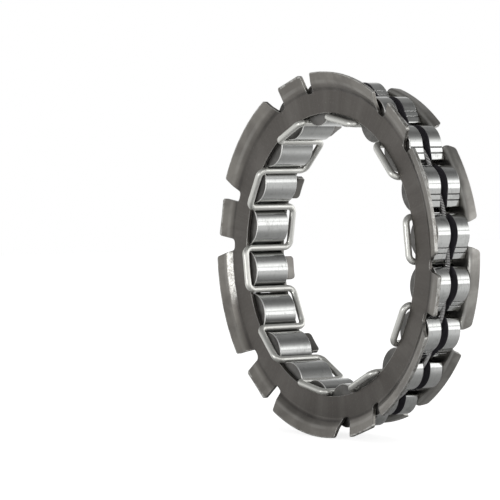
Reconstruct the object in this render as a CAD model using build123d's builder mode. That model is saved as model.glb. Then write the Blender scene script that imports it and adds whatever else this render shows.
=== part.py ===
import os
from math import asin, cos, degrees, floor, pi, radians, sin, sqrt, tan

from build123d import *

# A sprag clutch insert: twenty steel sprags in a ring, held between two pressed
# sheet rings by one bent wire and turned up by one garter spring. The ring stands
# on edge: its axis is Y, its front is -Y, and the origin is its centre.
# Sizes are in millimetres. Angles count anticlockwise from +X, seen from the front.

# The two races that the sprags bridge. They are not part of the insert. Free of them,
# a sprag stands a little inside the inner race and a little outside the outer one.
inner_race_r = 24.86
race_gap = 8.33
free_inside = 0.05
free_outside = 0.05
outer_race_r = inner_race_r + race_gap

# The sprag's profile, drawn about the centre of its inner lobe, on which it rocks. The
# outer cam is an arc whose centre lies to one side, and it runs out in a ground flat.
lobe_r = 4.25
lobe_gap = 0.56
cam_r = 4.08
cam_side = 0.58
flat_lean = 31.5
head_rise = 1.7
head_gap = 1.13
nose_reach = 0.19
nose_thickness = 0.8
back_thickness = 0.6
waist_width = 4.22
waist_rise = 0.42
shoulder_drop = 1.45
shoulder_round = 0.56
corner_round = 0.38
waist_round = 0.75
line_width = 0.23
line_depth = 0.12
first_line = 2.35
line_pitch = 0.94
edge_break = 0.14
sprag_length = 7.6
groove_width = 1.65
tilt = 12.0

# The ring of sprags: as many pairs as have room side by side
pivot_r = inner_race_r - free_inside + lobe_r
sprag_pairs = floor(2 * pi * pivot_r / (2 * (2 * lobe_r + lobe_gap)))
sprag_count = 2 * sprag_pairs
pitch = 360 / sprag_count
half_pitch = radians(pitch / 2)
first_sprag = 8.25
end_play = 0.1

# The retaining wire and the garter spring
wire_d = 1.3
wire_play = 0.2
wire_bend = 1.3
wire_joint = 0.2
spring_d = 1.3
spring_rise = 1.69
spring_seat_play = 0.3

# Both pressed rings
sheet = 0.65
bore_play = 0.05
loop_play = 0.18
bend_r = 0.95

# The front ring: its rim is cut into long tabs, dished forward in two steps, and short
# tabs, which lean forward less. Insets and reaches are counted from the outer race.
front_tabs = 6
long_tab = 19.5
short_tab = long_tab + 180 / front_tabs
dish_inset = 1.63
dish_width = 1.4
dish_rise = 0.94
long_reach = 1.8
long_rise = 0.7
short_inset = 1.22
short_reach = 1.94
short_rise = 0.89
short_width = 7.6
notch_inset = 1.93
notch_width = 2.02
notch_flare = 1.5
notch_round = 0.45
tab_round = 0.56

# The rear ring: its rim is turned rearward and slotted, and lips are turned from its bore
rim_play = 0.36
rim_depth = 1.64
slot_inset = 1.83
slot_narrow = 4.4
slot_flare = 0.89
slot_round = 0.56
rim_round = 0.85
lip_width = 4.6
lip_drop = 0.89
lip_round = 0.75

# A run of the wire nests on two neighbouring lobes, and the rings' bore clears the wire
nest = lobe_r + wire_play + wire_d / 2
wire_r = pivot_r * cos(half_pitch) - sqrt(nest**2 - (pivot_r * sin(half_pitch)) ** 2)
bore_r = wire_r + wire_d / 2 + bore_play
inner_face = sprag_length / 2 + end_play
outer_face = inner_face + sheet
loop_y = outer_face + loop_play + wire_d / 2
spring_r = pivot_r + spring_rise
groove_floor = spring_rise - spring_d / 2 - spring_seat_play


def corner(sketch, point):
    """The sketch's vertex nearest to a point."""
    return sketch.vertices().sort_by_distance(point)[0]


def save(piece, name):
    """Label one piece and write its file."""
    piece.label = name
    export_step(piece, f"parts/{name}.step")


os.makedirs("parts", exist_ok=True)

# The sprag. In its profile X runs round the ring and Y outward from the lobe's centre.
cam_centre_r = outer_race_r + free_outside - cam_r
cam_centre = Vector(cam_side, sqrt(cam_centre_r**2 - cam_side**2) - pivot_r)
flat_slope = tan(radians(flat_lean))
flat_start = cam_centre + Vector(0, cam_r).rotate(Axis.Z, flat_lean)
head_half = (pivot_r + head_rise) * tan(half_pitch) - head_gap / 2
nose_x = -head_half - nose_reach
nose = (nose_x, flat_start.Y - (flat_start.X - nose_x) * flat_slope)
nose_under = (nose_x + corner_round, nose[1] - nose_thickness)
back_x = head_half - nose_reach
back = (back_x, cam_centre.Y + sqrt(cam_r**2 - (back_x - cam_side) ** 2))
back_under = (back_x, back[1] - back_thickness)
shoulder = sqrt(lobe_r**2 - shoulder_drop**2)

with BuildSketch() as profile:
    with BuildLine():
        ThreePointArc(flat_start, cam_centre + Vector(0, cam_r), back)
        Polyline(back, back_under, (waist_width / 2, waist_rise), (shoulder, -shoulder_drop))
        ThreePointArc((shoulder, -shoulder_drop), (0, -lobe_r), (-shoulder, -shoulder_drop))
        Polyline((-shoulder, -shoulder_drop), (-waist_width / 2, waist_rise), nose_under, nose)
        Line(nose, flat_start)
    make_face()
    fillet([corner(profile, point) for point in (nose, nose_under, back, back_under)], corner_round)
    fillet([corner(profile, (side * shoulder, -shoulder_drop)) for side in (-1, 1)], shoulder_round)
    fillet([corner(profile, (side * waist_width / 2, waist_rise)) for side in (-1, 1)], waist_round)
    # Two fine lines are ground across the flat
    for count in range(2):
        line = -first_line - line_pitch * count
        with Locations((line, flat_start.Y - (flat_start.X - line) * flat_slope)):
            Rectangle(line_width, 2 * line_depth, rotation=flat_lean, mode=Mode.SUBTRACT)

seat_plane = Plane(origin=(pivot_r, 0, 0), x_dir=(0, 0, 1), z_dir=(0, 1, 0))
beyond = 2 * lobe_r
with BuildPart() as sprag:
    with BuildSketch(seat_plane.offset(-sprag_length / 2)):
        add(profile.sketch)
    extrude(amount=sprag_length)
    chamfer(sprag.faces().filter_by(Axis.Y).edges(), edge_break)
    # The garter spring's groove. Its floor falls away on the side that rises as the
    # sprag rocks, so that it stays clear of the spring.
    with BuildSketch(seat_plane):
        with BuildLine():
            Polyline(
                (0, groove_floor),
                (beyond, groove_floor),
                (beyond, beyond),
                (-beyond, beyond),
                (-beyond, groove_floor - beyond * tan(radians(tilt))),
                close=True,
            )
        make_face()
    extrude(amount=groove_width / 2, both=True, mode=Mode.SUBTRACT)

for number in range(sprag_count):
    save(sprag.part.rotate(Axis.Y, -first_sprag - number * pitch), f"sprag_{number + 1:02d}")

# The retaining wire runs along each gap between two lobes, and crosses over a sprag's end
# at the front and at the rear in turn. Its two ends meet in the middle of one run.
corners = []
for number in range(-1, sprag_count):
    angle = radians(first_sprag + (number + 0.5) * pitch)
    side = -1 if number % 2 else 1
    for y in (-side * loop_y, side * loop_y):
        corners.append((wire_r * cos(angle), y, wire_r * sin(angle)))
start = (corners[0][0], -wire_joint / 2, corners[0][2])
end = (start[0], wire_joint / 2, start[2])

with BuildPart() as retaining_wire:
    with BuildLine():
        FilletPolyline([start] + corners[1:-1] + [end], radius=wire_bend)
    with BuildSketch(Plane(origin=start, z_dir=(0, -1, 0))):
        Circle(wire_d / 2)
    sweep()
save(retaining_wire.part, "retaining_wire")

# The garter spring lies in the sprags' grooves: a closed ring of the coil's outer size
with BuildPart() as garter_spring:
    with BuildSketch():
        with Locations((spring_r, 0)):
            Circle(spring_d / 2)
    revolve(axis=Axis.Y)
save(garter_spring.part, "garter_spring")


def pressed(face_line, outline):
    """A sheet ring turned from the line of its front face and cut to an outline."""
    with BuildPart() as ring:
        with BuildSketch():
            with BuildLine():
                FilletPolyline(face_line, radius=bend_r)
                offset(amount=sheet, side=Side.LEFT)
            make_face()
        revolve(axis=Axis.Y)
        extrude(outline.sketch, amount=2 * outer_face, both=True, mode=Mode.INTERSECT)
    return ring.part


# The front ring's outline: long and short tabs in turn, and a flared notch between them
# with a round bottom
long_r = outer_race_r + long_reach
short_r = outer_race_r + short_reach
notch_r = outer_race_r - notch_inset
short_half = degrees(asin(short_width / 2 / notch_r))
long_half = 180 / front_tabs - short_half - degrees(notch_width / notch_r)
tab_base = Vector(notch_r, 0).rotate(Axis.Z, long_half)
tab_tip = Vector(long_r, 0).rotate(Axis.Z, long_half - degrees(notch_flare / long_r))
tab_end = 2 * tab_tip - tab_base
with BuildSketch(Plane.XZ) as front_outline:
    with PolarLocations(0, front_tabs, start_angle=long_tab):
        Polygon(tab_base, tab_end, (tab_end.X, -tab_end.Y), (tab_base.X, -tab_base.Y), align=None)
    Circle(long_r, mode=Mode.INTERSECT)
    with PolarLocations(0, front_tabs, start_angle=short_tab):
        Rectangle(short_r, short_width, align=(Align.MIN, Align.CENTER))
    Circle(notch_r)
    fillet(front_outline.vertices().group_by(SortBy.DISTANCE)[0], notch_width * notch_round)
    tips = [tip for tip in front_outline.vertices() if Vector(*tip).length > outer_race_r]
    fillet(tips, tab_round)

# The long tabs lean forward in two steps and the short ones in one. The ring is pressed
# as two parts that meet on the flat below the notches.
side = Vector(2 * long_r, 0).rotate(Axis.Z, short_half + degrees(notch_width / notch_r) / 2)
with BuildSketch(Plane.XZ) as short_sectors:
    with PolarLocations(0, front_tabs, start_angle=short_tab):
        Polygon((0, 0), side, (side.X, -side.Y), align=None)
with BuildSketch(Plane.XZ) as short_outline:
    add(front_outline.sketch_local)
    add(short_sectors.sketch_local, mode=Mode.INTERSECT)
with BuildSketch(Plane.XZ) as long_outline:
    add(front_outline.sketch_local)
    add(short_sectors.sketch_local, mode=Mode.SUBTRACT)

dish_r = outer_race_r - dish_inset
dish_end = (dish_r + dish_width, -outer_face - dish_rise)
long_slope = long_rise / (long_r - dish_end[0])
long_end = (long_r + sheet, dish_end[1] - long_rise - sheet * long_slope)
long_tabs = pressed([(bore_r, -outer_face), (dish_r, -outer_face), dish_end, long_end], long_outline)

short_bend_r = outer_race_r - short_inset
short_slope = short_rise / (short_r - short_bend_r)
short_end = (short_r + sheet, -outer_face - short_rise - sheet * short_slope)
short_tabs = pressed([(bore_r, -outer_face), (short_bend_r, -outer_face), short_end], short_outline)

with BuildPart() as front_ring:
    add(long_tabs)
    add(short_tabs)
save(front_ring.part, "front_cage_ring")

# The rear ring's lip, turned rearward from the bore behind every second sprag
rim_end = outer_face + rim_depth
lip_r = bore_r - lip_drop
lip_angle = degrees(lip_width / lip_r)
with BuildPart() as lip:
    with BuildSketch():
        with BuildLine():
            FilletPolyline(
                (bore_r + sheet, inner_face),
                (lip_r, inner_face),
                (lip_r, rim_end),
                radius=bend_r,
            )
            offset(amount=sheet, side=Side.RIGHT)
        make_face()
    revolve(axis=Axis.Y, revolution_arc=lip_angle)
    fillet(lip.edges().filter_by(GeomType.LINE).group_by(Axis.Y)[-1], lip_round)

# A slot of its rim: narrow at the bend, wider at the free edge, with round inner corners
slot_r = outer_race_r - slot_inset
slot_slope = slot_flare / (rim_end - inner_face)
slot_start = slot_narrow / 2 - sheet * slot_slope
slot_stop = slot_narrow / 2 + slot_flare + sheet * slot_slope
with BuildPart() as slot:
    with BuildSketch(Plane.YZ.offset(slot_r)):
        Polygon(
            (inner_face - sheet, slot_start),
            (rim_end + sheet, slot_stop),
            (rim_end + sheet, -slot_stop),
            (inner_face - sheet, -slot_start),
            align=None,
        )
    extrude(amount=2 * slot_inset)
    fillet(slot.faces().sort_by(Axis.X)[0].edges().group_by(Axis.Y)[1], slot_round)

# The rear ring: an L section, slotted through its rim, with the lips joined to its bore
rim_r = outer_race_r - rim_play
with BuildPart() as rear_ring:
    with BuildSketch():
        with BuildLine():
            FilletPolyline(
                (bore_r, inner_face),
                (rim_r, inner_face),
                (rim_r, rim_end),
                radius=bend_r,
            )
            offset(amount=sheet, side=Side.LEFT)
        make_face()
    revolve(axis=Axis.Y)
    for number in range(sprag_pairs):
        turn = -first_sprag - 2 * number * pitch
        add(slot.part.rotate(Axis.Y, turn), mode=Mode.SUBTRACT)
    fillet(rear_ring.edges().filter_by(GeomType.LINE).group_by(Axis.Y)[-1], rim_round)
    for number in range(sprag_pairs):
        add(lip.part.rotate(Axis.Y, -first_sprag - lip_angle / 2 - 2 * number * pitch))
save(rear_ring.part, "rear_cage_ring")
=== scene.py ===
from math import cos, pi, radians, sin

import bpy
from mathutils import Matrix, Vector


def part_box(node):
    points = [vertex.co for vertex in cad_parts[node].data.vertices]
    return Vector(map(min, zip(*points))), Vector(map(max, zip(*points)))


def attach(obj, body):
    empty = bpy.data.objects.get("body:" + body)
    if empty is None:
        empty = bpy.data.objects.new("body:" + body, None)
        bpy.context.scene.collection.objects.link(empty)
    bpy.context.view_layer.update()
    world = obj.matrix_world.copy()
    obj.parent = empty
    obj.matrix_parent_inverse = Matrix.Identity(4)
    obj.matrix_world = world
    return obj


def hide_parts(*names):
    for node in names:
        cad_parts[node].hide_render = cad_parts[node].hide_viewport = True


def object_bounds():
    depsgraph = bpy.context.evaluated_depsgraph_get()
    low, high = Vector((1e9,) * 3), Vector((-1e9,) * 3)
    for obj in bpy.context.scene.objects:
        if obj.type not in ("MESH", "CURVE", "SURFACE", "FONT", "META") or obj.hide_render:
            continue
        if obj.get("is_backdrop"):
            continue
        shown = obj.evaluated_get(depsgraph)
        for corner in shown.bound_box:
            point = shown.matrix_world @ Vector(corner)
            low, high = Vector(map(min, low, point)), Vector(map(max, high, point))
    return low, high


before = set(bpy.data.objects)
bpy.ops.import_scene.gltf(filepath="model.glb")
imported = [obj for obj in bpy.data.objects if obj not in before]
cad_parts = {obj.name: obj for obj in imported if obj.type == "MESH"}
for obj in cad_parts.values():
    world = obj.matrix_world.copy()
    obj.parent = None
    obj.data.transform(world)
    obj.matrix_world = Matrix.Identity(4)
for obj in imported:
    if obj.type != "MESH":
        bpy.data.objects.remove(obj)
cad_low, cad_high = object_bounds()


# The camera stands to the right of the front ring and a little above the middle of the
# ring, as the view fitted to the photograph has it. Its frame is shifted, because the ring
# stands right of the middle of the picture.
view_side = radians(53.147)
view_rise = radians(2.559)
view_distance = 0.58163
frame_width = 500
pixels_per_metre = 5202.5
ring_centre_pixel = (346.88, 254.06)
sensor_width = 36

to_camera = Vector((
    sin(view_side) * cos(view_rise),
    -cos(view_side) * cos(view_rise),
    sin(view_rise),
))
camera = bpy.data.objects.new("camera", bpy.data.cameras.new("camera"))
bpy.context.scene.collection.objects.link(camera)
camera.location = to_camera * view_distance
camera.rotation_euler = (-to_camera).to_track_quat("-Z", "Y").to_euler()
camera.data.sensor_width = sensor_width
camera.data.lens = pixels_per_metre * view_distance / frame_width * sensor_width
camera.data.shift_x = 0.5 - ring_centre_pixel[0] / frame_width
camera.data.shift_y = ring_centre_pixel[1] / frame_width - 0.5
camera.data.clip_start = 0.01
bpy.context.scene.camera = camera


# The front cage ring: pressed from 0.65 mm sheet steel and phosphated a dark brownish
# grey. Its long tabs are dished forward in two steps and its short tabs lean forward in
# one. Its cut edges are rubbed bright by handling, its edges, outer bends and one tab
# also carry a painted highlight, and its first bend a painted shade.


def place(tree, kind, sockets=None, **settings):
    """Add a node, set its own settings, and give each named socket a value or a link."""
    made = tree.nodes.new(kind)
    for name, value in settings.items():
        setattr(made, name, value)
    for name, value in (sockets or {}).items():
        if isinstance(value, bpy.types.NodeSocket):
            tree.links.new(value, made.inputs[name])
        else:
            made.inputs[name].default_value = value
    return made


def blend_colours(tree, mask, under, over):
    """A colour that goes from one to the other by a mask."""
    first, second = 6, 7
    sockets = {0: mask, first: under, second: over}
    return place(tree, "ShaderNodeMix", sockets, data_type="RGBA").outputs[2]


def calculate(tree, operation, first, second=0.0, clamp=False):
    """One sum of two numbers or sockets, or of one where the operation takes one."""
    sockets = {0: first, 1: second}
    made = place(tree, "ShaderNodeMath", sockets, operation=operation, use_clamp=clamp)
    return made.outputs["Value"]


def both(tree, mask, other):
    """A mask kept only as far as another one goes."""
    return calculate(tree, "MULTIPLY", mask, other)


def start_group(name, inputs, outputs):
    """An empty node group: its tree, what it is given, and what it puts out."""
    tree = bpy.data.node_groups.new(name, "ShaderNodeTree")
    for socket, value in inputs.items():
        made = tree.interface.new_socket(socket, in_out="INPUT", socket_type="NodeSocketFloat")
        made.default_value = value
    for socket, kind in outputs.items():
        tree.interface.new_socket(socket, in_out="OUTPUT", socket_type=kind)
    given = tree.nodes.new("NodeGroupInput").outputs
    return tree, given, tree.nodes.new("NodeGroupOutput").inputs


def noise(tree, scale, detail, roughness, stretch=None, distortion=0.0):
    """Noise over the piece, drawn out along one axis where stretch is given."""
    spot = place(tree, "ShaderNodeTexCoord").outputs["Object"]
    if stretch:
        spot = place(
            tree, "ShaderNodeVectorMath", {0: spot, 1: stretch}, operation="MULTIPLY"
        ).outputs["Vector"]
    return place(
        tree,
        "ShaderNodeTexNoise",
        {
            "Vector": spot,
            "Scale": scale,
            "Detail": detail,
            "Roughness": roughness,
            "Distortion": distortion,
        },
    ).outputs["Fac"]


# Edge wear and painted highlight: an edge lies where the rounded normal turns away from the
# flat one, and a fine noise breaks the bright edge into specks
edge_wear_and_highlight, given, out = start_group(
    "edge wear and highlight",
    {"Width": 0.0002, "Reach": 0.8, "Breakup": 0.5},
    {"Mask": "NodeSocketFloat", "Normal": "NodeSocketVector"},
)
hardly_turned, fully_turned = 0.99, 0.82
rounded = place(edge_wear_and_highlight, "ShaderNodeBevel", {"Radius": given["Width"]}, samples=6)
flat = place(edge_wear_and_highlight, "ShaderNodeNewGeometry")
alike = place(
    edge_wear_and_highlight,
    "ShaderNodeVectorMath",
    {0: rounded.outputs["Normal"], 1: flat.outputs["Normal"]},
    operation="DOT_PRODUCT",
)
turned = place(
    edge_wear_and_highlight,
    "ShaderNodeMapRange",
    {"Value": alike.outputs["Value"], "From Min": hardly_turned, "From Max": fully_turned},
)
specks = noise(edge_wear_and_highlight, 1500.0, 4.0, 0.65)
kept_back = calculate(edge_wear_and_highlight, "MULTIPLY", specks, given["Breakup"])
edge_wear_and_glint = calculate(edge_wear_and_highlight, "SUBTRACT", turned.outputs["Result"], kept_back, clamp=True)
edge_wear_and_glint = calculate(edge_wear_and_highlight, "MULTIPLY", edge_wear_and_glint, given["Reach"], clamp=True)
edge_wear_and_highlight.links.new(edge_wear_and_glint, out["Mask"])
edge_wear_and_highlight.links.new(rounded.outputs["Normal"], out["Normal"])

# Mottle: soft patches and a fine grain in one finish
mottle, given, out = start_group(
    "mottle",
    {"Patch Scale": 150.0, "Grain Scale": 4000.0},
    {"Patch": "NodeSocketFloat", "Grain": "NodeSocketFloat"},
)
mottle.links.new(noise(mottle, given["Patch Scale"], 3.0, 0.55, distortion=0.4), out["Patch"])
mottle.links.new(noise(mottle, given["Grain Scale"], 2.0, 0.7), out["Grain"])

# Place on a ring: the distance from its axis, the turn round it, and streaks and bands
# that run out from the axis
ring_place, given, out = start_group(
    "place on ring",
    {},
    {
        "Radius": "NodeSocketFloat",
        "Turn": "NodeSocketFloat",
        "Streak": "NodeSocketFloat",
        "Band": "NodeSocketFloat",
    },
)
spot = place(ring_place, "ShaderNodeTexCoord").outputs["Object"]
axes = place(ring_place, "ShaderNodeSeparateXYZ", {"Vector": spot}).outputs
flattened = place(
    ring_place, "ShaderNodeVectorMath", {0: spot, 1: (1.0, 0.0, 1.0)}, operation="MULTIPLY"
).outputs["Vector"]
radius = place(ring_place, "ShaderNodeVectorMath", {0: flattened}, operation="LENGTH")
heading = place(ring_place, "ShaderNodeVectorMath", {0: flattened}, operation="NORMALIZE")
ring_place.links.new(radius.outputs["Value"], out["Radius"])
ring_place.links.new(calculate(ring_place, "ARCTAN2", axes["Z"], axes["X"]), out["Turn"])
for socket, scale in (("Streak", 70.0), ("Band", 4.0)):
    streak = place(
        ring_place,
        "ShaderNodeTexNoise",
        {"Vector": heading.outputs["Vector"], "Scale": scale, "Detail": 3.0, "Roughness": 0.55},
    )
    ring_place.links.new(streak.outputs["Fac"], out[socket])


def new_material(name):
    """A named material, with its node tree and its shader."""
    made = bpy.data.materials.new(name)
    made.use_nodes = True
    return made, made.node_tree, made.node_tree.nodes["Principled BSDF"]


def use_group(tree, group, **values):
    """Place a node group in a material with its own values."""
    made = place(tree, "ShaderNodeGroup", node_tree=group)
    for name, value in values.items():
        made.inputs[name.replace("_", " ")].default_value = value
    return made.outputs


def ramp_between(tree, value, start, end, low=0.0, high=1.0):
    """A soft step: low up to the start, high from the end on."""
    return place(
        tree,
        "ShaderNodeMapRange",
        {"Value": value, "From Min": start, "From Max": end, "To Min": low, "To Max": high},
        interpolation_type="SMOOTHSTEP",
    ).outputs["Result"]


def band_between(tree, value, low, high, soft):
    """A soft-edged band of a value: one inside it, nothing outside."""
    rise = ramp_between(tree, value, low - soft, low)
    fall = ramp_between(tree, value, high, high + soft, 1.0, 0.0)
    return both(tree, rise, fall)


def dress(node_name, material):
    """Put one material on a piece of the frame."""
    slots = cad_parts[node_name].data.materials
    slots.clear()
    slots.append(material)


def cage_steel(name, face, pale, rim, rim_from, rim_to, ridge, ridge_highlight, crease=None, scuff_and_glint=None):
    """Phosphated sheet steel: darker on its face, painted paler towards its rim as a painted sheen,
    with painted shade in its bends and painted highlights on its ridge and edges.
    """
    dark_patch = (0.109, 0.1, 0.093, 1)
    light_streak = (0.24, 0.23, 0.215, 1)
    painted_crease_shade = (0.07, 0.066, 0.062, 1)
    pale_fleck = (0.33, 0.32, 0.3, 1)
    cut_edge_radius = 0.0349
    made, tree, shader = new_material(name)
    marks = use_group(tree, mottle, Patch_Scale=170.0, Grain_Scale=2600.0)
    spread = use_group(tree, ring_place)
    edges = use_group(tree, edge_wear_and_highlight, Width=0.0003, Reach=1.0, Breakup=0.45)

    # Face to rim, paler towards the rim as a painted sheen, then bands, patches and fine scratches
    # over both
    coat = blend_colours(tree, ramp_between(tree, spread["Radius"], rim_from, rim_to), face, rim)
    bands = ramp_between(tree, spread["Band"], 0.42, 0.66, 0.0, 0.3)
    coat = blend_colours(tree, bands, coat, pale)
    patches = ramp_between(tree, marks["Patch"], 0.40, 0.66, 0.0, 0.45)
    coat = blend_colours(tree, patches, coat, dark_patch)
    scratched = ramp_between(tree, spread["Streak"], 0.35, 0.75, 0.0, 0.1)
    coat = blend_colours(tree, scratched, coat, light_streak)

    # Painted shade in the crease, a painted highlight on the ridge, a scuff on one tab that is also
    # a painted highlight, and wear on the cut edges
    if crease:
        crease_shade = ramp_between(tree, spread["Band"], 0.3, 0.6, 0.8, 0.3)
        crease_shade = both(tree, band_between(tree, spread["Radius"], **crease), crease_shade)
        coat = blend_colours(tree, crease_shade, coat, painted_crease_shade)
    # Painted highlight: a pale band along the ridge of the bend, patchy round the ring
    ridge_highlight_mask = ramp_between(tree, spread["Band"], 0.38, 0.6, ridge_highlight / 5, ridge_highlight)
    ridge_highlight_mask = both(tree, band_between(tree, spread["Radius"], **ridge), ridge_highlight_mask)
    coat = blend_colours(tree, ridge_highlight_mask, coat, bare_steel)
    # Bare steel specks on one tab: a scuff that also stands as a painted highlight
    if scuff_and_glint:
        specks = use_group(tree, mottle, Patch_Scale=900.0, Grain_Scale=7000.0)
        speck = calculate(tree, "ADD", specks["Patch"], specks["Grain"])
        near = calculate(tree, "SUBTRACT", spread["Turn"], scuff_and_glint["middle"])
        near = calculate(tree, "COSINE", near)
        near = ramp_between(tree, near, cos(scuff_and_glint["reach"]), cos(scuff_and_glint["reach"] / 3))
        strip = band_between(tree, spread["Radius"], scuff_and_glint["low"], scuff_and_glint["high"], 0.0002)
        near = both(tree, both(tree, near, strip), ramp_between(tree, speck, 0.82, 1.12, 0.25, 1.0))
        coat = blend_colours(tree, near, coat, bare_steel)
        cut_edge = ramp_between(tree, spread["Radius"], cut_edge_radius - 0.0002, cut_edge_radius)
        cut_edge = both(tree, cut_edge, ramp_between(tree, speck, 0.85, 1.1, 0.0, 0.9))
        coat = blend_colours(tree, cut_edge, coat, bare_steel)
    flecks = ramp_between(tree, marks["Grain"], 0.62, 0.72, 0.0, 0.18)
    coat = blend_colours(tree, flecks, coat, pale_fleck)
    # Bare steel on every edge the rounding finds: rub on the cut edges, and a painted highlight as
    # well
    shaded = blend_colours(tree, edges["Mask"], coat, bare_steel)
    tree.links.new(shaded, shader.inputs["Base Color"])
    shader.inputs["Metallic"].default_value = 0.92
    matt = ramp_between(tree, marks["Grain"], 0.3, 0.7, 0.44, 0.33)
    tree.links.new(matt, shader.inputs["Roughness"])
    height = calculate(tree, "MULTIPLY", spread["Streak"], 0.12)
    height = calculate(tree, "ADD", height, marks["Grain"])
    bump = place(
        tree,
        "ShaderNodeBump",
        {"Height": height, "Distance": 0.000022, "Strength": 0.5, "Normal": edges["Normal"]},
    )
    tree.links.new(bump.outputs["Normal"], shader.inputs["Normal"])
    return made


bare_steel = (0.60, 0.597, 0.57, 1)
front_steel = cage_steel(
    "phosphated front ring steel",
    face=(0.122, 0.113, 0.103, 1),
    pale=(0.24, 0.229, 0.212, 1),
    rim=(0.268, 0.255, 0.233, 1),
    rim_from=0.0317,
    rim_to=0.0332,
    ridge={"low": 0.0329, "high": 0.0333, "soft": 0.0003},
    ridge_highlight=0.15,
    crease={"low": 0.03165, "high": 0.0319, "soft": 0.0003},
    scuff_and_glint={"low": 0.0318, "high": 0.0327, "middle": radians(188), "reach": radians(13)},
)
dress("front_cage_ring", front_steel)


# The rear cage ring: the same sheet steel, with its rim turned rearward and slotted and
# ten lips turned from its bore. It is painted paler than the front ring, a lit copy of the
# same steel that stands for the light it catches, and paler again towards its rim.
rear_steel = cage_steel(
    "phosphated rear ring steel",
    face=(0.22, 0.212, 0.198, 1),
    pale=(0.40, 0.388, 0.365, 1),
    rim=(0.41, 0.40, 0.375, 1),
    rim_from=0.031,
    rim_to=0.0328,
    ridge={"low": 0.0322, "high": 0.0325, "soft": 0.0002},
    ridge_highlight=0.7,
)
dress("rear_cage_ring", rear_steel)


# The retaining wire: hard-drawn bright steel wire, bent into a meander that runs between
# the lobes of the sprags and hooks over them in front and behind. It has a satin skin
# with faint duller patches.
dull_wire = (0.69, 0.69, 0.655, 1)
bright_wire = (0.83, 0.83, 0.79, 1)
wire_steel, tree, shader = new_material("drawn wire steel")
marks = use_group(tree, mottle, Patch_Scale=220.0, Grain_Scale=5000.0)
skin = blend_colours(tree, marks["Patch"], dull_wire, bright_wire)
tree.links.new(skin, shader.inputs["Base Color"])
shader.inputs["Metallic"].default_value = 0.88
satin = place(
    tree,
    "ShaderNodeMapRange",
    {"Value": marks["Patch"], "From Min": 0.3, "From Max": 0.7, "To Min": 0.44, "To Max": 0.32},
)
tree.links.new(satin.outputs["Result"], shader.inputs["Roughness"])
bump = place(
    tree, "ShaderNodeBump", {"Height": marks["Grain"], "Distance": 0.00001, "Strength": 0.4}
)
tree.links.new(bump.outputs["Normal"], shader.inputs["Normal"])
dress("retaining_wire", wire_steel)


# The garter spring: one closed coil of fine bright spring wire, laid in the grooves of
# the sprags, where it turns their heads up and holds the ring of them together.
spring_low, spring_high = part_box("garter_spring")
coil_radius = (spring_high[1] - spring_low[1]) / 2
circle_radius = spring_high[0] - coil_radius
strand_radius = 0.00013
turns = 640
points_per_turn = 10
centre_radius = coil_radius - strand_radius
coil = bpy.data.curves.new("garter_coil", "CURVE")
coil.dimensions = "3D"
coil.bevel_depth = strand_radius
coil.bevel_resolution = 1
strand = coil.splines.new("POLY")
strand.points.add(turns * points_per_turn - 1)
for step, point in enumerate(strand.points):
    round_ring = 2 * pi * step / (turns * points_per_turn)
    round_coil = 2 * pi * step / points_per_turn
    out_by = circle_radius + centre_radius * cos(round_coil)
    across = centre_radius * sin(round_coil)
    point.co = (out_by * cos(round_ring), across, out_by * sin(round_ring), 1)
strand.use_cyclic_u = True
garter_coil = bpy.data.objects.new("garter_spring_coil", coil)
bpy.context.scene.collection.objects.link(garter_coil)

dull_strand = (0.34, 0.337, 0.335, 1)
bright_strand = (0.54, 0.535, 0.53, 1)
spring_steel, tree, shader = new_material("coiled spring steel")
marks = use_group(tree, mottle, Patch_Scale=300.0, Grain_Scale=6000.0)
skin = blend_colours(tree, marks["Patch"], dull_strand, bright_strand)
tree.links.new(skin, shader.inputs["Base Color"])
shader.inputs["Metallic"].default_value = 1.0
shader.inputs["Roughness"].default_value = 0.3
coil.materials.append(spring_steel)
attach(garter_coil, "cage")
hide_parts("garter_spring")


# The sprags: twenty blocks of hardened bearing steel, cut from a drawn profile. The cams
# are ground and polished, so they mirror the room. The ends and the groove are painted dark
# as painted shade, and the broken edges between them carry a painted highlight.
sprag_pitch = radians(18)
first_sprag = radians(8.25)
lobe_top, lobe_end = 0.0285, 0.0295
groove_half_width, groove_floor = 0.00084, 0.029
head_start, head_full = 0.0305, 0.0308
flank_start, flank_full = 0.0018, 0.0031
line_places = (-0.00235, -0.00329)
line_half_width, line_softness = 0.00009, 0.00007
dull_cam, bright_cam = (0.535, 0.542, 0.53, 1), (0.70, 0.708, 0.695, 1)
cam_soil = (0.27, 0.275, 0.265, 1)
painted_flank_shade = (0.09, 0.09, 0.088, 1)
painted_line_shade = (0.03, 0.03, 0.03, 1)
painted_end_shade, paler_end_shade = (0.13, 0.128, 0.122, 1), (0.20, 0.196, 0.188, 1)
painted_break_highlight = (0.92, 0.92, 0.9, 1)
painted_groove_shade = (0.085, 0.081, 0.094, 1)
painted_edge_highlight = (0.85, 0.85, 0.84, 1)

grinding, given, out = start_group(
    "grinding marks",
    {"Scale": 900.0},
    {"Streak": "NodeSocketFloat", "Nick": "NodeSocketFloat", "Smudge": "NodeSocketFloat"},
)
along_sprag = (1.0, 0.07, 1.0)
round_sprag = (0.25, 1.0, 0.25)
streak = noise(grinding, given["Scale"], 4.0, 0.6, stretch=along_sprag)
grinding.links.new(streak, out["Streak"])
grinding.links.new(noise(grinding, 4200.0, 2.0, 0.6, stretch=round_sprag), out["Nick"])
grinding.links.new(noise(grinding, 420.0, 4.0, 0.65, distortion=0.6), out["Smudge"])

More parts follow.
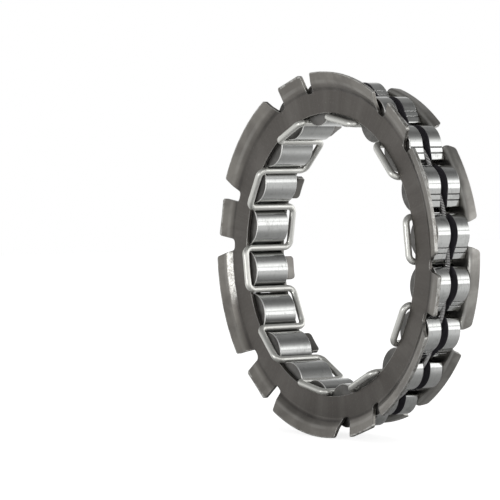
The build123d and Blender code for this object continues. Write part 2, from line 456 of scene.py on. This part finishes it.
# Where a spot lies on its sprag: how far out, how far to its side, and how it faces
sprag_steel, tree, shader = new_material("polished sprag steel")
spread = use_group(tree, ring_place)
spot = place(tree, "ShaderNodeTexCoord")
axes = place(tree, "ShaderNodeSeparateXYZ", {"Vector": spot.outputs["Object"]}).outputs
facing = place(tree, "ShaderNodeSeparateXYZ", {"Vector": spot.outputs["Normal"]}).outputs
turn = calculate(tree, "SUBTRACT", spread["Turn"], first_sprag)
own_turn = place(
    tree, "ShaderNodeMath", {0: turn, 1: sprag_pitch / 2, 2: -sprag_pitch / 2}, operation="WRAP"
).outputs["Value"]
sideways = calculate(tree, "MULTIPLY", calculate(tree, "SINE", own_turn), spread["Radius"])
off_middle = calculate(tree, "ABSOLUTE", axes["Y"])
endways = calculate(tree, "ABSOLUTE", facing["Y"])
on_head = ramp_between(tree, spread["Radius"], head_start, head_full)
streaks = use_group(tree, grinding, Scale=1300.0)
edges = use_group(tree, edge_wear_and_highlight, Width=0.00012, Reach=0.9, Breakup=0.2)

# The cams: streaks, soil, painted shade on the flanks of the lobes, and painted shade in two ground
# lines on each head
tone = blend_colours(tree, streaks["Streak"], dull_cam, bright_cam)
soil = ramp_between(tree, streaks["Smudge"], 0.52, 0.72, 0.0, 0.35)
soil = calculate(tree, "ADD", soil, ramp_between(tree, streaks["Nick"], 0.55, 0.7, 0.0, 0.3))
tone = blend_colours(tree, soil, tone, cam_soil)
# Painted shade: the flanks of the lobes, beside the wire, are darkened
flank_shade = calculate(tree, "ABSOLUTE", sideways)
flank_shade = ramp_between(tree, flank_shade, flank_start, flank_full, 0.0, 0.82)
flank_shade = both(tree, flank_shade, ramp_between(tree, spread["Radius"], lobe_top, lobe_end, 1.0, 0.0))
tone = blend_colours(tree, flank_shade, tone, painted_flank_shade)
# Painted shade: a near-black line along each of the two ground lines on a head
for line_place in line_places:
    low, high = line_place - line_half_width, line_place + line_half_width
    ground_line_shade = both(tree, band_between(tree, sideways, low, high, line_softness), on_head)
    tone = blend_colours(tree, ground_line_shade, tone, painted_line_shade)

# Painted shade on the ends and in the groove, a painted highlight on the broken edges, and a
# painted edge highlight over all of them
# Painted shade: the end faces are a patchy dark grey
ends = ramp_between(tree, endways, 0.72, 0.95)
end_shade = ramp_between(tree, streaks["Smudge"], 0.35, 0.65)
end_shade = blend_colours(tree, end_shade, painted_end_shade, paler_end_shade)
shine = blend_colours(tree, ends, tone, end_shade)
# Painted highlight: near-white on the broken edges
broken_edge = band_between(tree, endways, 0.35, 0.78, 0.1)
shine = blend_colours(tree, broken_edge, shine, painted_break_highlight)
# Painted shade: near-black in the groove
in_groove = ramp_between(
    tree, off_middle, groove_half_width, groove_half_width + 0.00004, 1.0, 0.0
)
in_groove = both(tree, in_groove, ramp_between(tree, spread["Radius"], lobe_top, groove_floor))
shine = blend_colours(tree, in_groove, shine, painted_groove_shade)
# Painted edge highlight over all edges, weaker where the painted shade of the ends and groove lies
skin = calculate(tree, "MAXIMUM", ends, in_groove)
edge_highlight = both(tree, edges["Mask"], ramp_between(tree, skin, 0.0, 1.0, 1.0, 0.25))
shine = blend_colours(tree, edge_highlight, shine, painted_edge_highlight)
tree.links.new(shine, shader.inputs["Base Color"])
bare = calculate(tree, "SUBTRACT", 1.0, calculate(tree, "MULTIPLY", in_groove, 0.75))
tree.links.new(bare, shader.inputs["Metallic"])
lobe_polish = ramp_between(tree, streaks["Smudge"], 0.3, 0.7, 0.13, 0.20)
head_polish = ramp_between(tree, streaks["Smudge"], 0.3, 0.7, 0.07, 0.13)
polish = place(
    tree,
    "ShaderNodeMix",
    {"Factor": on_head, "A": lobe_polish, "B": head_polish},
    data_type="FLOAT",
).outputs["Result"]
polish = calculate(tree, "ADD", polish, calculate(tree, "MULTIPLY", skin, 0.25))
polish = calculate(tree, "ADD", polish, calculate(tree, "MULTIPLY", broken_edge, 0.3))
tree.links.new(polish, shader.inputs["Roughness"])
bump = place(
    tree,
    "ShaderNodeBump",
    {
        "Height": calculate(tree, "ADD", streaks["Streak"], streaks["Nick"]),
        "Distance": 0.00001,
        "Strength": 0.4,
        "Normal": edges["Normal"],
    },
)
tree.links.new(bump.outputs["Normal"], shader.inputs["Normal"])
for node_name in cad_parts:
    if node_name.startswith("sprag_"):
        dress(node_name, sprag_steel)


# The studio: a pale floor that the ring stands on, which in mirrors is painted darker near
# the ring as a painted shadow, and a surround with a broad soft window on the back right,
# parted by one thin bar. It mirrors in the sprags as a white band. A small soft box stands
# in front and one hangs overhead.
floor_level = cad_low[2]
half_floor = 0.7
floor_mesh = bpy.data.meshes.new("floor")
floor_mesh.from_pydata(
    [
        (x * half_floor, y * half_floor, floor_level)
        for x, y in ((-1, -1), (1, -1), (1, 1), (-1, 1))
    ],
    [],
    [(0, 1, 2, 3)],
)
floor = bpy.data.objects.new("floor", floor_mesh)
bpy.context.scene.collection.objects.link(floor)
floor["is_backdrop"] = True
floor_paint, tree, shader = new_material("pale floor paint")
shader.inputs["Base Color"].default_value = (0.6, 0.6, 0.6, 1)
shader.inputs["Roughness"].default_value = 0.9
shader.inputs["Specular IOR Level"].default_value = 0.0
shader.inputs["Emission Color"].default_value = (1, 1, 1, 1)
rays = place(tree, "ShaderNodeLightPath").outputs
spot = place(tree, "ShaderNodeTexCoord").outputs["Object"]
away = place(
    tree, "ShaderNodeVectorMath", {0: spot, 1: (1.0, 1.0, 0.0)}, operation="MULTIPLY"
).outputs["Vector"]
away = place(tree, "ShaderNodeVectorMath", {0: away}, operation="LENGTH").outputs["Value"]
# Painted shadow: in mirrors the floor is darker near the ring and paler away from it
mirrored_lift_and_shadow = both(tree, rays["Is Glossy Ray"], ramp_between(tree, away, 0.02, 0.10, 0.0, 0.45))
floor_lift = calculate(tree, "MULTIPLY", rays["Is Camera Ray"], 0.8)
floor_lift = calculate(tree, "ADD", floor_lift, mirrored_lift_and_shadow)
tree.links.new(floor_lift, shader.inputs["Emission Strength"])
floor_mesh.materials.append(floor_paint)

world = bpy.data.worlds.new("studio")
bpy.context.scene.world = world
world.use_nodes = True
tree = world.node_tree
lowest_rise, highest_rise = -0.2, 1.0
heading = place(tree, "ShaderNodeTexCoord").outputs["Generated"]
rise = place(tree, "ShaderNodeSeparateXYZ", {"Vector": heading}).outputs["Z"]
rise = place(
    tree,
    "ShaderNodeMapRange",
    {"Value": rise, "From Min": lowest_rise, "From Max": highest_rise},
).outputs["Result"]


def surround(bands):
    """Grey levels of the surround by height in degrees, its lowest and highest first."""
    made = place(tree, "ShaderNodeValToRGB", {"Fac": rise})
    ramp = made.color_ramp
    for number, (height, level) in enumerate(bands):
        stop = ramp.elements[number] if number < 2 else ramp.elements.new(1.0)
        stop.position = (sin(radians(height)) - lowest_rise) / (highest_rise - lowest_rise)
        stop.color = (level, level, level, 1)
    return made.outputs["Color"]


window = surround(
    (
        (-8, 0.6),
        (90, 0.17),
        (-4, 1.8),
        (8, 1.8),
        (11, 1.7),
        (13, 0.4),
        (15, 1.5),
        (20, 1.8),
        (25, 1.35),
        (30, 0.8),
        (36, 0.45),
        (42, 0.27),
        (50, 0.18),
        (60, 0.16),
    )
)
room = surround(((-8, 0.6), (90, 0.22), (0, 0.62), (12, 0.66), (24, 0.42), (38, 0.30), (60, 0.26)))
wall = surround(((-8, 0.6), (90, 0.22), (0, 1.0), (12, 1.0), (24, 0.6), (38, 0.32), (60, 0.26)))


def towards(side, start, end):
    """How far a heading turns towards one side of the room."""
    aim = (sin(radians(side)), -cos(radians(side)), 0.0)
    faced = place(tree, "ShaderNodeVectorMath", {0: heading, 1: aim}, operation="DOT_PRODUCT")
    return ramp_between(tree, faced.outputs["Value"], start, end)


surround_colour = blend_colours(tree, towards(-110, 0.3, 0.8), room, wall)
surround_colour = blend_colours(tree, towards(130, 0.25, 0.5), surround_colour, window)
rays = place(tree, "ShaderNodeLightPath").outputs
seen = blend_colours(tree, rays["Is Camera Ray"], surround_colour, (1, 1, 1, 1))
tree.links.new(seen, tree.nodes["Background"].inputs["Color"])


def soft_box(name, side, rise, distance, width, height, radiance):
    """A soft box that faces the ring: its side and rise from the ring, and its glow."""
    light = bpy.data.lights.new(name, "AREA")
    light.shape = "RECTANGLE"
    light.size = width
    light.size_y = height
    light.energy = radiance * width * height * pi
    box = bpy.data.objects.new(name, light)
    outward = Vector((
        sin(radians(side)) * cos(radians(rise)),
        -cos(radians(side)) * cos(radians(rise)),
        sin(radians(rise)),
    ))
    box.location = outward * distance
    box.rotation_euler = (-outward).to_track_quat("-Z", "Y").to_euler()
    box.visible_camera = False
    bpy.context.scene.collection.objects.link(box)
    return box


soft_box("front box", 12, 5.0, distance=0.9, width=0.16, height=0.14, radiance=17.0)
overhead = soft_box("overhead box", 200, 80.0, distance=1.0, width=1.0, height=1.0, radiance=0.5)
overhead.visible_glossy = False
bpy.context.scene.view_settings.view_transform = "Standard"


# The bounds of the dressed scene are taken.
low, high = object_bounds()
